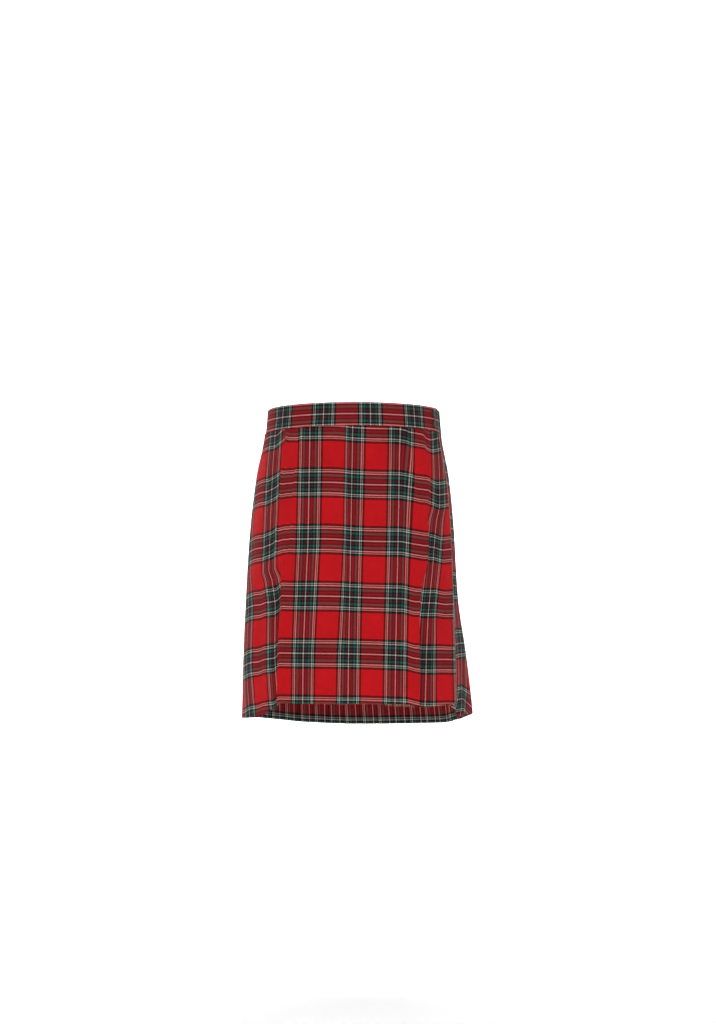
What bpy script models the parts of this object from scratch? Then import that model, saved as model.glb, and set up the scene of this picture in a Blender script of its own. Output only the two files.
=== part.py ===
"""Knife-pleated tartan wrap skirt, as it hangs on its wearer.

Metres, +Z up. The origin is the centre of the waistband's top edge. The garment's front faces -Y, and
its flat apron lies over the back, at +Y. The wearer's left is +X.

An azimuth goes round the body in degrees: 0 at centre back, 90 at the wearer's left side, 180 at centre
front and 270 at the right side. The cloth winds on past 360, under the apron.
A run is a length along a level of the skirt, from centre back. A fall goes from 0 at the top of a piece
of cloth to 1 at its hem. A rise is a distance out from the form that the cloth hangs on.
"""
import math
from collections import namedtuple

import bmesh
import bpy
from mathutils import Matrix, Vector

MM = 0.001

CLOTH_WALL = 1.2 * MM
BAND_WALL = 2.4 * MM
BAND_HEIGHT = 45 * MM
SEAM = 0.3 * MM
WAIST_TILT = 15 * MM

# Half widths and half depths of the form, at heights below the waist.
Form = namedtuple("Form", "z right left front back")
FORM = [
    Form(-0.640, 0.2375, 0.2140, 0.168, 0.168),
    Form(-0.558, 0.2280, 0.2130, 0.163, 0.164),
    Form(-0.462, 0.2160, 0.2108, 0.157, 0.160),
    Form(-0.365, 0.2032, 0.2060, 0.150, 0.157),
    Form(-0.240, 0.1957, 0.1985, 0.143, 0.153),
    Form(-0.130, 0.1850, 0.1860, 0.133, 0.143),
    Form(-0.050, 0.1700, 0.1700, 0.120, 0.126),
    Form(0.020, 0.1640, 0.1640, 0.115, 0.119),
]

# Height of the hem as the cloth winds round, from the apron's free edge to its inner end.
Hem = namedtuple("Hem", "azimuth z")
HEM = [
    Hem(-75, -0.5620), Hem(-60, -0.5615), Hem(-46, -0.5645), Hem(-34, -0.5665), Hem(-26, -0.5610),
    Hem(0, -0.5600), Hem(41, -0.5600), Hem(47, -0.5715), Hem(53, -0.5805), Hem(62, -0.5885),
    Hem(90, -0.5930), Hem(120, -0.5955), Hem(132, -0.5990), Hem(155, -0.6070), Hem(180, -0.6110),
    Hem(225, -0.6070), Hem(245, -0.5955), Hem(255, -0.5875), Hem(272, -0.5835), Hem(285, -0.5845),
    Hem(298.5, -0.5880), Hem(301.5, -0.5730), Hem(304, -0.5640), Hem(311, -0.5615), Hem(395, -0.5610),
]

# The apron's free edge and the inner end of the cloth beneath it.
Edge = namedtuple("Edge", "fall azimuth")
FREE_EDGE = [Edge(0.00, -74.0), Edge(0.40, -72.2), Edge(0.62, -70.0), Edge(0.80, -64.5), Edge(1.00, -59.6)]
UNDER_END_AZIMUTH = 390

# The two soft folds of the apron. The free side of each lies under its middle. Fullness grows from no
# fold at 0 to the whole fold at 1.
SoftFold = namedtuple("SoftFold", "fall azimuth depth gap fullness")
RIGHT_FOLD = [
    SoftFold(0.00, -47.0, 5 * MM, 2.2 * MM, 0.0), SoftFold(0.16, -47.0, 5 * MM, 2.2 * MM, 0.0),
    SoftFold(0.34, -47.0, 6 * MM, 2.2 * MM, 0.9), SoftFold(0.47, -45.0, 7 * MM, 2.4 * MM, 1.0),
    SoftFold(0.58, -39.5, 10 * MM, 2.6 * MM, 1.0), SoftFold(0.70, -36.6, 12.5 * MM, 3.0 * MM, 1.0),
    SoftFold(1.00, -32.8, 14 * MM, 3.4 * MM, 1.0),
]
LEFT_FOLD = [
    SoftFold(0.00, 43.5, 4 * MM, 2.0 * MM, 0.0), SoftFold(0.42, 43.5, 4 * MM, 2.0 * MM, 0.0),
    SoftFold(0.54, 43.5, 7 * MM, 2.0 * MM, 0.9), SoftFold(0.64, 42.5, 10 * MM, 2.4 * MM, 1.0),
    SoftFold(0.80, 43.3, 11 * MM, 2.8 * MM, 1.0), SoftFold(1.00, 43.3, 14 * MM, 3.2 * MM, 1.0),
]
FOLD_REACH = 32 * MM
# How the cloth comes up to a fold: shares of the reach before it and of the gap that it has risen.
Lead = namedtuple("Lead", "reach gap")
FOLD_LEADS = [Lead(1.0, 0.0), Lead(0.6, 0.4), Lead(0.35, 0.8)]
BEND_STEPS = 4

# Knife pleats round the front, each a third of its cloth on show.
PLEAT_COUNT = 17
PLEAT_JOIN = 9
PLEATS_FROM_AZIMUTH = 97
PLEATS_TO_AZIMUTH = 255
LAYER_GAP = 1.8 * MM
PLEAT_DEPTH_TOP = 0.78
PLEAT_DEPTH_HEM = 0.86
PLEAT_OPENING = 0.55
PLEAT_UNEVENNESS = 0.22
PLEAT_LEAD = 55 * MM

# How far the cloth and the band beneath the apron lie inside it.
UNDER_BAND_RISE = -3.3 * MM
UNDER_HEM_RISE = -9.5 * MM
UNDER_FROM_AZIMUTH = 256
UNDER_FULL_AZIMUTH = 283

BUTTON_RADIUS = 8 * MM
BUTTON_THICKNESS = 2.8 * MM
BUTTON_BEVEL = 0.7 * MM
BUTTON_RIM = 1.2 * MM
BUTTON_DISH = 1.0 * MM
BUTTON_SIDES = 28
BUTTON_FROM_EDGE = 16 * MM
BUTTON_DROPS = {"button_upper": 12.5 * MM, "button_lower": 32.5 * MM}

# The azimuths over which each stretch is worked out, a little past its own ends.
APRON_SPAN = (-90, 120)
PLEAT_SPAN = (60, 280)
UNDER_SPAN = (60, 400)
BAND_SPAN = (-90, 400)

APRON_RED = (0.50, 0.015, 0.022)
PLEAT_RED = (0.42, 0.012, 0.020)
UNDER_RED = (0.46, 0.014, 0.021)
BAND_RED = (0.40, 0.012, 0.018)
HORN = (0.02, 0.02, 0.025)
CLOTH_ROUGHNESS = 0.85
HORN_ROUGHNESS = 0.35

# Rows down the cloth, and columns between its folds.
CLOTH_ROWS = 10
FREE_SIDE_COLUMNS = 2
PANEL_COLUMNS = 8
LEFT_SIDE_COLUMNS = 4
FACE_COLUMNS = 3
UNDER_COLUMNS = 22
BAND_COLUMNS = 92
CURVE_STEP = 1.5
HALF_STEP = 0.5


def smooth(x, points):
    """Read a table of (x, y) at x with a cubic that never swings past the table's own values."""
    points = sorted(points)
    if x <= points[0][0]:
        return points[0][1]
    if x >= points[-1][0]:
        return points[-1][1]
    slopes = [(b[1] - a[1]) / (b[0] - a[0]) for a, b in zip(points, points[1:])]
    turns = [slopes[0]]
    for before, after in zip(slopes, slopes[1:]):
        level = before * after <= 0
        turns.append(0.0 if level else 2 * before * after / (before + after))
    turns.append(slopes[-1])
    index = max(i for i in range(len(slopes)) if points[i][0] <= x)
    (x0, y0), (x1, y1) = points[index], points[index + 1]
    width = x1 - x0
    u = (x - x0) / width
    return ((1 + 2 * u) * (1 - u) ** 2 * y0 + u * (1 - u) ** 2 * width * turns[index]
            + u * u * (3 - 2 * u) * y1 + u * u * (u - 1) * width * turns[index + 1])


def column(rows, key, value):
    """Two named columns of a table, as points."""
    return [(getattr(row, key), getattr(row, value)) for row in rows]


def ease(low, high, x):
    """0 below low, 1 above high, and a smooth step between."""
    u = min(1.0, max(0.0, (x - low) / (high - low)))
    return u * u * (3 - 2 * u)


def waist_z(azimuth):
    return WAIST_TILT * math.cos(math.radians(azimuth))


def cloth_top_z(azimuth):
    return waist_z(azimuth) - BAND_HEIGHT - SEAM


def form_point(azimuth, z):
    """The point of the form at an azimuth and a height."""
    angle = math.radians(azimuth)
    side = "left" if math.sin(angle) > 0 else "right"
    face = "back" if math.cos(angle) > 0 else "front"
    half_width = smooth(z, column(FORM, "z", side))
    half_depth = smooth(z, column(FORM, "z", face))
    return Vector((half_width * math.sin(angle), half_depth * math.cos(angle), z))


class Level:
    """One level line round the form, from one azimuth to another, measured by its run."""

    def __init__(self, first, last, height):
        """height(azimuth) gives the line's height."""
        steps = math.ceil((last - first) / CURVE_STEP)
        self.azimuths = [first + (last - first) * i / steps for i in range(steps + 1)]
        self.points = [form_point(a, height(a)) for a in self.azimuths]
        self.height = height
        self.runs = [0.0]
        for a, b in zip(self.points, self.points[1:]):
            self.runs.append(self.runs[-1] + (b - a).xy.length)

    def run(self, azimuth):
        return self.read(azimuth, self.azimuths, self.runs)

    @staticmethod
    def read(x, xs, ys):
        """Read ys at x on straight lines, carried on past both ends."""
        low = 0
        high = len(xs) - 2
        while low < high:
            middle = (low + high + 1) // 2
            if xs[middle] <= x:
                low = middle
            else:
                high = middle - 1
        share = (x - xs[low]) / (xs[low + 1] - xs[low])
        return ys[low] + (ys[low + 1] - ys[low]) * share

    def place(self, run, rise):
        """The point at a run along the line, moved out by rise."""
        azimuth = self.read(run, self.runs, self.azimuths)
        here = form_point(azimuth, self.height(azimuth))
        before = form_point(azimuth - HALF_STEP, self.height(azimuth - HALF_STEP))
        after = form_point(azimuth + HALF_STEP, self.height(azimuth + HALF_STEP))
        along = (after - before).xy.normalized()
        return here + Vector((-along.y, along.x, 0)) * rise


def cloth_level(fall, first, last):
    """The level line of the cloth at a fall, from one azimuth to another."""
    table = column(HEM, "azimuth", "z")

    def height(azimuth):
        top = cloth_top_z(azimuth)
        return top + fall * (smooth(azimuth, table) - top)

    return Level(first, last, height)


def sides_of(path, wall):
    """The outer and inner side of a wall along a path of (run, rise) points, with mitred corners."""
    outer = []
    inner = []
    for i, (run, rise) in enumerate(path):
        here = Vector((run, rise))
        back = here - Vector(path[max(0, i - 1)])
        ahead = Vector(path[min(len(path) - 1, i + 1)]) - here
        if i == 0:
            back = ahead
        if i == len(path) - 1:
            ahead = back
        back.normalize()
        ahead.normalize()
        normal = Vector((-back.y - ahead.y, back.x + ahead.x)).normalized()
        mitre = max(0.5, normal.dot(Vector((-back.y, back.x))))
        outer.append(here + normal * (wall / 2 / mitre))
        inner.append(here - normal * (wall / 2 / mitre))
    return outer, inner


def wall_from_paths(name, levels, paths, wall, colour):
    """One closed wall: a path on each level, given its thickness and joined to the next."""
    mesh = bpy.data.meshes.new(name)
    bm = bmesh.new()
    loops = []
    for level, path in zip(levels, paths):
        outer, inner = sides_of(path, wall)
        points = outer + inner[::-1]
        loops.append([bm.verts.new(level.place(*point)) for point in points])
    count = len(loops[0])
    half = count // 2
    for upper, lower in zip(loops, loops[1:]):
        for i in range(count):
            after = (i + 1) % count
            bm.faces.new((upper[i], upper[after], lower[after], lower[i]))
    for loop in (loops[0], loops[-1]):
        for i in range(half - 1):
            bm.faces.new((loop[i], loop[i + 1], loop[count - 2 - i], loop[count - 1 - i]))
    bmesh.ops.recalc_face_normals(bm, faces=bm.faces)
    bmesh.ops.triangulate(bm, faces=bm.faces)
    bm.to_mesh(mesh)
    bm.free()
    return add_object(name, mesh, colour, CLOTH_ROUGHNESS)


def add_object(name, mesh, colour, roughness):
    material = bpy.data.materials.new(name)
    material.use_nodes = True
    shader = material.node_tree.nodes["Principled BSDF"]
    shader.inputs["Base Color"].default_value = (*colour, 1)
    shader.inputs["Roughness"].default_value = roughness
    shader.inputs["Metallic"].default_value = 0
    mesh.materials.append(material)
    part = bpy.data.objects.new(name, mesh)
    bpy.context.scene.collection.objects.link(part)
    return part


def spread(start, end, count):
    """Points between two points of a path, without its ends."""
    return [tuple(a + (b - a) * i / (count + 1) for a, b in zip(start, end)) for i in range(1, count + 1)]


def soft_fold(fall, table, edge_run, towards):
    """A fold from its upper face, round its edge and back beneath, to the cloth that it covers.

    towards is 1 for an edge that points along the run and -1 for one that points back.
    """
    depth = smooth(fall, column(table, "fall", "depth"))
    gap = smooth(fall, column(table, "fall", "gap"))
    fullness = smooth(fall, column(table, "fall", "fullness"))
    radius = gap / 2
    turns = [math.pi * i / BEND_STEPS for i in range(BEND_STEPS + 1)]
    folded = [(-FOLD_REACH * lead.reach, gap * lead.gap) for lead in FOLD_LEADS]
    folded += [(radius * (math.sin(turn) - 1), radius * (1 + math.cos(turn))) for turn in turns]
    folded += [(-depth / 2, 0.0)]
    folded += [(radius * (1 - math.sin(turn)) - depth, radius * (math.cos(turn) - 1)) for turn in turns]
    folded += [(0.0, -gap)]
    folded += [(FOLD_REACH * lead.reach, -gap * lead.gap) for lead in FOLD_LEADS[::-1]]
    last = len(folded) - 1
    points = []
    for i, (along, rise) in enumerate(folded):
        flat = FOLD_REACH * (2 * i / last - 1)
        along = flat + (along - flat) * fullness
        points.append((edge_run + towards * along, rise * fullness))
    return points[::towards]


def pleat_sizes(level, fall):
    """Pitch, depth and start of the pleats on a level."""
    start = level.run(PLEATS_FROM_AZIMUTH)
    pitch = (level.run(PLEATS_TO_AZIMUTH) - start) / PLEAT_COUNT
    share = PLEAT_DEPTH_TOP + (PLEAT_DEPTH_HEM - PLEAT_DEPTH_TOP) * fall
    return start, pitch, pitch * share


def pleat_height(pitch, depth, fall, number):
    """Half the thickness of the pleats: three layers that never touch, looser towards the hem."""
    closed = LAYER_GAP * (pitch + depth) / pitch
    uneven = PLEAT_UNEVENNESS * (1 + math.sin(2.4 * number))
    return closed * (1 + (PLEAT_OPENING + uneven) * fall ** 2)


def pleat_edge(level, fall, number):
    """The bend at a pleat's showing edge, from its face to the leg beneath."""
    start, pitch, depth = pleat_sizes(level, fall)
    height = pleat_height(pitch, depth, fall, number)
    run = start + (number + 1) * pitch
    half = LAYER_GAP / 2
    return [(run - half, height), (run, height - half), (run - half, height - LAYER_GAP)]


def pleat_root(level, fall, number):
    """The bend at a pleat's hidden inner edge, from the leg to the face."""
    start, pitch, depth = pleat_sizes(level, fall)
    height = pleat_height(pitch, depth, fall, number)
    run = start + number * pitch - depth
    half = LAYER_GAP / 2
    return [(run + half, LAYER_GAP - height), (run, half - height), (run + half, -height)]


def leg_middle(level, fall, number, side):
    """The middle of the hidden leg before a pleat, half a seam to one side of it."""
    upper = Vector(pleat_edge(level, fall, number - 1)[-1])
    lower = Vector(pleat_root(level, fall, number)[0])
    step = (upper - lower).normalized() * (SEAM / 2)
    return tuple((upper + lower) / 2 + step * side)


def pleats_path(level, fall, first, last):
    """The cloth of the pleats first to last - 1, from one hidden leg to another."""
    path = [leg_middle(level, fall, first, -1)]
    for number in range(first, last):
        if number > first:
            path.append(leg_middle(level, fall, number, 0))
        root = pleat_root(level, fall, number)
        edge = pleat_edge(level, fall, number)
        path += root + spread(root[-1], edge[0], FACE_COLUMNS) + edge
    return path + [leg_middle(level, fall, last, 1)]


def apron_path(level, fall):
    """The outer apron, from its free edge over both soft folds to the first pleat."""
    free = level.run(smooth(fall, column(FREE_EDGE, "fall", "azimuth")))
    right_run = level.run(smooth(fall, column(RIGHT_FOLD, "fall", "azimuth")))
    left_run = level.run(smooth(fall, column(LEFT_FOLD, "fall", "azimuth")))
    right = soft_fold(fall, RIGHT_FOLD, right_run, -1)
    left = soft_fold(fall, LEFT_FOLD, left_run, 1)
    edge = pleat_edge(level, fall, -1)
    lead = (edge[0][0] - PLEAT_LEAD, 0.0)
    path = [(free, 0.0)] + spread((free, 0.0), right[0], FREE_SIDE_COLUMNS) + right
    path += spread(right[-1], left[0], PANEL_COLUMNS) + left
    path += spread(left[-1], lead, LEFT_SIDE_COLUMNS) + [lead] + spread(lead, edge[0], FACE_COLUMNS)
    return path + edge + [leg_middle(level, fall, 0, 1)]


def under_rise(azimuth, deepest):
    return deepest * ease(UNDER_FROM_AZIMUTH, UNDER_FULL_AZIMUTH, azimuth)


def under_path(level, fall):
    """The under apron, out of the last pleat, round the right side and in under the apron."""
    root = pleat_root(level, fall, PLEAT_COUNT)
    lead_run = root[-1][0] + PLEAT_LEAD
    end_run = level.run(UNDER_END_AZIMUTH)
    deepest = UNDER_BAND_RISE + (UNDER_HEM_RISE - UNDER_BAND_RISE) * fall
    path = [leg_middle(level, fall, PLEAT_COUNT, -1)] + root
    path += spread(root[-1], (lead_run, 0.0), FACE_COLUMNS)
    for i in range(UNDER_COLUMNS + 1):
        run = lead_run + (end_run - lead_run) * i / UNDER_COLUMNS
        azimuth = Level.read(run, level.runs, level.azimuths)
        path.append((run, under_rise(azimuth, deepest)))
    return path


def falls():
    return [i / (CLOTH_ROWS - 1) for i in range(CLOTH_ROWS)]


def build_outer_apron():
    levels = [cloth_level(fall, *APRON_SPAN) for fall in falls()]
    paths = [apron_path(level, fall) for level, fall in zip(levels, falls())]
    return wall_from_paths("outer_apron", levels, paths, CLOTH_WALL, APRON_RED)


def build_pleats(name, first, last):
    levels = [cloth_level(fall, *PLEAT_SPAN) for fall in falls()]
    paths = [pleats_path(level, fall, first, last) for level, fall in zip(levels, falls())]
    return wall_from_paths(name, levels, paths, CLOTH_WALL, PLEAT_RED)


def build_under_apron():
    levels = [cloth_level(fall, *UNDER_SPAN) for fall in falls()]
    paths = [under_path(level, fall) for level, fall in zip(levels, falls())]
    return wall_from_paths("under_apron", levels, paths, CLOTH_WALL, UNDER_RED)


def band_level(drop):
    return Level(*BAND_SPAN, lambda azimuth: waist_z(azimuth) - drop)


def build_waistband():
    """One strip, from the free end over the apron, round the waist and in under its own start."""
    levels = [band_level(drop) for drop in (0.0, BAND_HEIGHT / 2, BAND_HEIGHT)]
    paths = []
    for level in levels:
        first = level.run(FREE_EDGE[0].azimuth)
        last = level.run(UNDER_END_AZIMUTH)
        path = []
        for i in range(BAND_COLUMNS + 1):
            run = first + (last - first) * i / BAND_COLUMNS
            azimuth = Level.read(run, level.runs, level.azimuths)
            path.append((run, under_rise(azimuth, UNDER_BAND_RISE)))
        paths.append(path)
    return wall_from_paths("waistband", levels, paths, BAND_WALL, BAND_RED)


def build_button(name, drop):
    """A round, dished button that lies on the waistband's free end."""
    mesh = bpy.data.meshes.new(name)
    bm = bmesh.new()
    bmesh.ops.create_cone(bm, cap_ends=True, segments=BUTTON_SIDES, radius1=BUTTON_RADIUS,
                          radius2=BUTTON_RADIUS, depth=BUTTON_THICKNESS)
    rims = [edge for edge in bm.edges if abs(edge.verts[0].co.z - edge.verts[1].co.z) < 0.1 * MM]
    bmesh.ops.bevel(bm, geom=rims, offset=BUTTON_BEVEL, segments=2, profile=0.5, affect="EDGES",
                    material=-1)
    top = max(bm.faces, key=lambda face: face.calc_center_median().z)
    bmesh.ops.inset_individual(bm, faces=[top], thickness=BUTTON_RIM)
    bmesh.ops.inset_individual(bm, faces=[top], thickness=BUTTON_DISH)
    bmesh.ops.translate(bm, verts=top.verts, vec=(0, 0, -BUTTON_DISH))
    level = band_level(drop)
    run = level.run(FREE_EDGE[0].azimuth) + BUTTON_FROM_EDGE
    seat = level.place(run, 0.0)
    along = level.place(run + MM, 0.0) - level.place(run - MM, 0.0)
    above = band_level(drop - MM)
    down = seat - above.place(above.run(FREE_EDGE[0].azimuth) + BUTTON_FROM_EDGE, 0.0)
    out = down.cross(along).normalized()
    if out.dot(seat) < 0:
        out = -out
    turn = out.to_track_quat("Z", "Y").to_matrix().to_4x4()
    centre = seat + out * (BAND_WALL / 2 + SEAM + BUTTON_THICKNESS / 2)
    bmesh.ops.transform(bm, matrix=Matrix.Translation(centre) @ turn, verts=bm.verts)
    bmesh.ops.recalc_face_normals(bm, faces=bm.faces)
    bmesh.ops.triangulate(bm, faces=bm.faces)
    bm.to_mesh(mesh)
    bm.free()
    return add_object(name, mesh, HORN, HORN_ROUGHNESS)


def main():
    for old in list(bpy.data.objects):
        bpy.data.objects.remove(old)
    build_outer_apron()
    build_pleats("pleats_left", 0, PLEAT_JOIN)
    build_pleats("pleats_right", PLEAT_JOIN, PLEAT_COUNT)
    build_under_apron()
    build_waistband()
    for name, drop in BUTTON_DROPS.items():
        build_button(name, drop)


main()
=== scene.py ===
# %% [markdown]
# A tartan wrap skirt, from flat cloth to worn form.
#
# A kilt is one long length of twill cloth. Its two ends stay flat and make the aprons, and all that lies
# between is folded into knife pleats. Here it is worn with the outer apron over the back. Each stretch of
# the cloth starts as a flat grid that knows its own place on the bolt, and is then moved to where it hangs.

# %% Load the frame
import math
from collections import namedtuple

import bmesh
import bpy
import numpy as np
from mathutils import Matrix, Vector


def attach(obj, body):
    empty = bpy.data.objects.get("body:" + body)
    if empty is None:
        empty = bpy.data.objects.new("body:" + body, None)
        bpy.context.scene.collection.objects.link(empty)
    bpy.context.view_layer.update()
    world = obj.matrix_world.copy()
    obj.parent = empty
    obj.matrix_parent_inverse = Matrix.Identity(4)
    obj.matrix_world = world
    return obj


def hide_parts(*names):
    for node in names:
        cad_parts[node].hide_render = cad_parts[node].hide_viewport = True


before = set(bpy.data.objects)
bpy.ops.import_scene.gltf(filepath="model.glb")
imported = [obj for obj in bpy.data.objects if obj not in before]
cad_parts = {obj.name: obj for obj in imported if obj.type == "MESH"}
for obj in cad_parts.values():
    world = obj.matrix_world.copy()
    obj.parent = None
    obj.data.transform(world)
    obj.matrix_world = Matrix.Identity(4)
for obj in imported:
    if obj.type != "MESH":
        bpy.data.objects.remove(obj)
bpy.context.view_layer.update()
MM = 0.001

# %% [markdown]
# The form that the cloth hangs on.
#
# A worn skirt is a soft cone. It could be sculpted, but a few measured rings say more: the half widths and
# half depths of the body and hem at a few heights, with a smooth curve between them. Azimuths run round the
# body in degrees, 0 at centre back, 90 at the wearer's left and 180 in front. Past 360 the cloth has wound on
# under its own start. A fall of 0 is the top of the cloth and 1 is its hem.

# %% Rings, hem and edges of the skirt
Form = namedtuple("Form", "z right left front back")
FORM = [
    Form(-0.640, 0.2375, 0.2140, 0.168, 0.168),
    Form(-0.558, 0.2280, 0.2130, 0.163, 0.164),
    Form(-0.462, 0.2160, 0.2108, 0.157, 0.160),
    Form(-0.365, 0.2032, 0.2060, 0.150, 0.157),
    Form(-0.240, 0.1957, 0.1985, 0.143, 0.153),
    Form(-0.130, 0.1850, 0.1860, 0.133, 0.143),
    Form(-0.050, 0.1700, 0.1700, 0.120, 0.126),
    Form(0.020, 0.1640, 0.1640, 0.115, 0.119),
]
Hem = namedtuple("Hem", "azimuth z")
HEM = [
    Hem(-75, -0.5620), Hem(-60, -0.5615), Hem(-46, -0.5645), Hem(-34, -0.5665), Hem(-26, -0.5610),
    Hem(0, -0.5600), Hem(41, -0.5600), Hem(47, -0.5715), Hem(53, -0.5805), Hem(62, -0.5885),
    Hem(90, -0.5930), Hem(120, -0.5955), Hem(132, -0.5990), Hem(155, -0.6070), Hem(180, -0.6110),
    Hem(225, -0.6070), Hem(245, -0.5955), Hem(255, -0.5875), Hem(272, -0.5835), Hem(285, -0.5845),
    Hem(298.5, -0.5880), Hem(301.5, -0.5730), Hem(304, -0.5640), Hem(311, -0.5615), Hem(395, -0.5610),
]
Edge = namedtuple("Edge", "fall azimuth")
FREE_EDGE = [Edge(0.00, -74.0), Edge(0.40, -72.2), Edge(0.62, -70.0), Edge(0.80, -64.5), Edge(1.00, -59.6)]
UNDER_END_AZIMUTH = 390
BAND_HEIGHT = 45 * MM
BAND_WALL = 2.2 * MM
CLOTH_WALL = 1.0 * MM
SEAM = 0.3 * MM
WAIST_TILT = 15 * MM

# %% [markdown]
# Reading a short table smoothly.
#
# Straight lines between the rings would leave corners in the cloth, and a plain cubic would swing past the
# measured sizes. This cubic takes the harmonic mean of the slopes on both sides, which never overshoots.

# %% A smooth curve through a table
def column(rows, key, value):
    """Two named columns of a table, sorted for reading."""
    ordered = sorted(rows)
    return np.array([getattr(r, key) for r in ordered]), np.array([getattr(r, value) for r in ordered])


def smooth(x, table):
    """Read a table at x, a number or an array."""
    xs, ys = table
    slopes = np.diff(ys) / np.diff(xs)
    turns = np.zeros(len(xs))
    turns[0], turns[-1] = slopes[0], slopes[-1]
    before, after = slopes[:-1], slopes[1:]
    rising = before * after > 0
    turns[1:-1][rising] = 2 * (before * after)[rising] / (before + after)[rising]
    x = np.clip(x, xs[0], xs[-1])
    i = np.clip(np.searchsorted(xs, x, side="right") - 1, 0, len(slopes) - 1)
    width = xs[i + 1] - xs[i]
    u = (x - xs[i]) / width
    return ((1 + 2 * u) * (1 - u) ** 2 * ys[i] + u * (1 - u) ** 2 * width * turns[i]
            + u * u * (3 - 2 * u) * ys[i + 1] + u * u * (u - 1) * width * turns[i + 1])


def ease(low, high, x):
    """0 below low, 1 above high, and a smooth step between."""
    u = np.clip((x - low) / (high - low), 0, 1)
    return u * u * (3 - 2 * u)


RINGS = {side: column(FORM, "z", side) for side in ("right", "left", "front", "back")}
HEM_LINE = column(HEM, "azimuth", "z")
print("half width at the hem, right side:", smooth(-0.585, RINGS["right"]))

# %% [markdown]
# Placing cloth on the form.
#
# A level is one line round the skirt, so many millimetres down the cloth. Along it, a run is the distance
# from where the level starts, and a rise is how far the cloth stands off the form. Folds are drawn in these
# two numbers, like a pleat drawn on paper, and then bent round the body.

# %% Levels round the form
def form_xy(azimuth, z):
    angle = np.radians(azimuth)
    half_width = np.where(np.sin(angle) > 0, smooth(z, RINGS["left"]), smooth(z, RINGS["right"]))
    half_depth = np.where(np.cos(angle) > 0, smooth(z, RINGS["back"]), smooth(z, RINGS["front"]))
    return np.stack([half_width * np.sin(angle), half_depth * np.cos(angle)], axis=-1)


def waist_z(azimuth):
    return WAIST_TILT * np.cos(np.radians(azimuth))


def cloth_z(azimuth, fall):
    top = waist_z(azimuth) - BAND_HEIGHT - SEAM
    return top + fall * (smooth(azimuth, HEM_LINE) - top)


class Level:
    """A line round the form between two azimuths, whose height is height(azimuth)."""

    def __init__(self, span, height):
        self.azimuths = np.arange(span[0], span[1] + 0.5, 1.0)
        self.height = height
        points = form_xy(self.azimuths, height(self.azimuths))
        steps = np.linalg.norm(np.diff(points, axis=0), axis=1)
        self.runs = np.concatenate([[0.0], np.cumsum(steps)])

    def run(self, azimuth):
        return float(np.interp(azimuth, self.azimuths, self.runs))

    def azimuth(self, run):
        return np.interp(run, self.runs, self.azimuths)

    def place(self, run, rise):
        """Points at runs along the line, moved out by rises."""
        azimuth = self.azimuth(run)
        z = self.height(azimuth)
        here = form_xy(azimuth, z)
        along = form_xy(azimuth + 0.5, self.height(azimuth + 0.5))
        along = along - form_xy(azimuth - 0.5, self.height(azimuth - 0.5))
        along /= np.linalg.norm(along, axis=-1, keepdims=True)
        out = np.stack([-along[:, 1], along[:, 0]], axis=-1)
        return np.column_stack([here + out * rise[:, None], z])


def cloth_level(span, fall):
    return Level(span, lambda azimuth: cloth_z(azimuth, fall))


# %% [markdown]
# The soft folds.
#
# The cloth stands proud over the middle of the back and tucks under itself on both sides, in two long folds
# that hang from the hip. Each one is drawn as an S: over the top, round a soft bend, back beneath, round the
# lower bend and out again. Where the fullness is less than 1 the S is pulled towards a straight line, which
# is just how such a fold runs out into flat cloth.

# %% The S of a soft fold
SoftFold = namedtuple("SoftFold", "fall azimuth depth gap fullness")
RIGHT_FOLD = [
    SoftFold(0.00, -47.0, 5 * MM, 2.2 * MM, 0.0), SoftFold(0.16, -47.0, 5 * MM, 2.2 * MM, 0.0),
    SoftFold(0.34, -47.0, 6 * MM, 2.2 * MM, 0.9), SoftFold(0.47, -45.0, 7 * MM, 2.4 * MM, 1.0),
    SoftFold(0.58, -39.5, 10 * MM, 2.6 * MM, 1.0), SoftFold(0.70, -36.6, 12.5 * MM, 3.0 * MM, 1.0),
    SoftFold(1.00, -32.8, 14 * MM, 3.4 * MM, 1.0),
]
LEFT_FOLD = [
    SoftFold(0.00, 43.5, 4 * MM, 2.0 * MM, 0.0), SoftFold(0.42, 43.5, 4 * MM, 2.0 * MM, 0.0),
    SoftFold(0.54, 43.5, 7 * MM, 2.0 * MM, 0.9), SoftFold(0.64, 42.5, 10 * MM, 2.4 * MM, 1.0),
    SoftFold(0.80, 43.3, 11 * MM, 2.8 * MM, 1.0), SoftFold(1.00, 43.3, 14 * MM, 3.2 * MM, 1.0),
]
FOLD_REACH = 32 * MM
Lead = namedtuple("Lead", "reach gap")
FOLD_LEADS = [Lead(1.0, 0.0), Lead(0.8, 0.15), Lead(0.6, 0.4), Lead(0.45, 0.65), Lead(0.3, 0.85),
              Lead(0.15, 0.97)]
BEND_STEPS = 4


def read_row(table, fall):
    """All the other columns of a table of falls, read at one fall."""
    return {key: float(smooth(fall, column(table, "fall", key))) for key in table[0]._fields[1:]}


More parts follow.
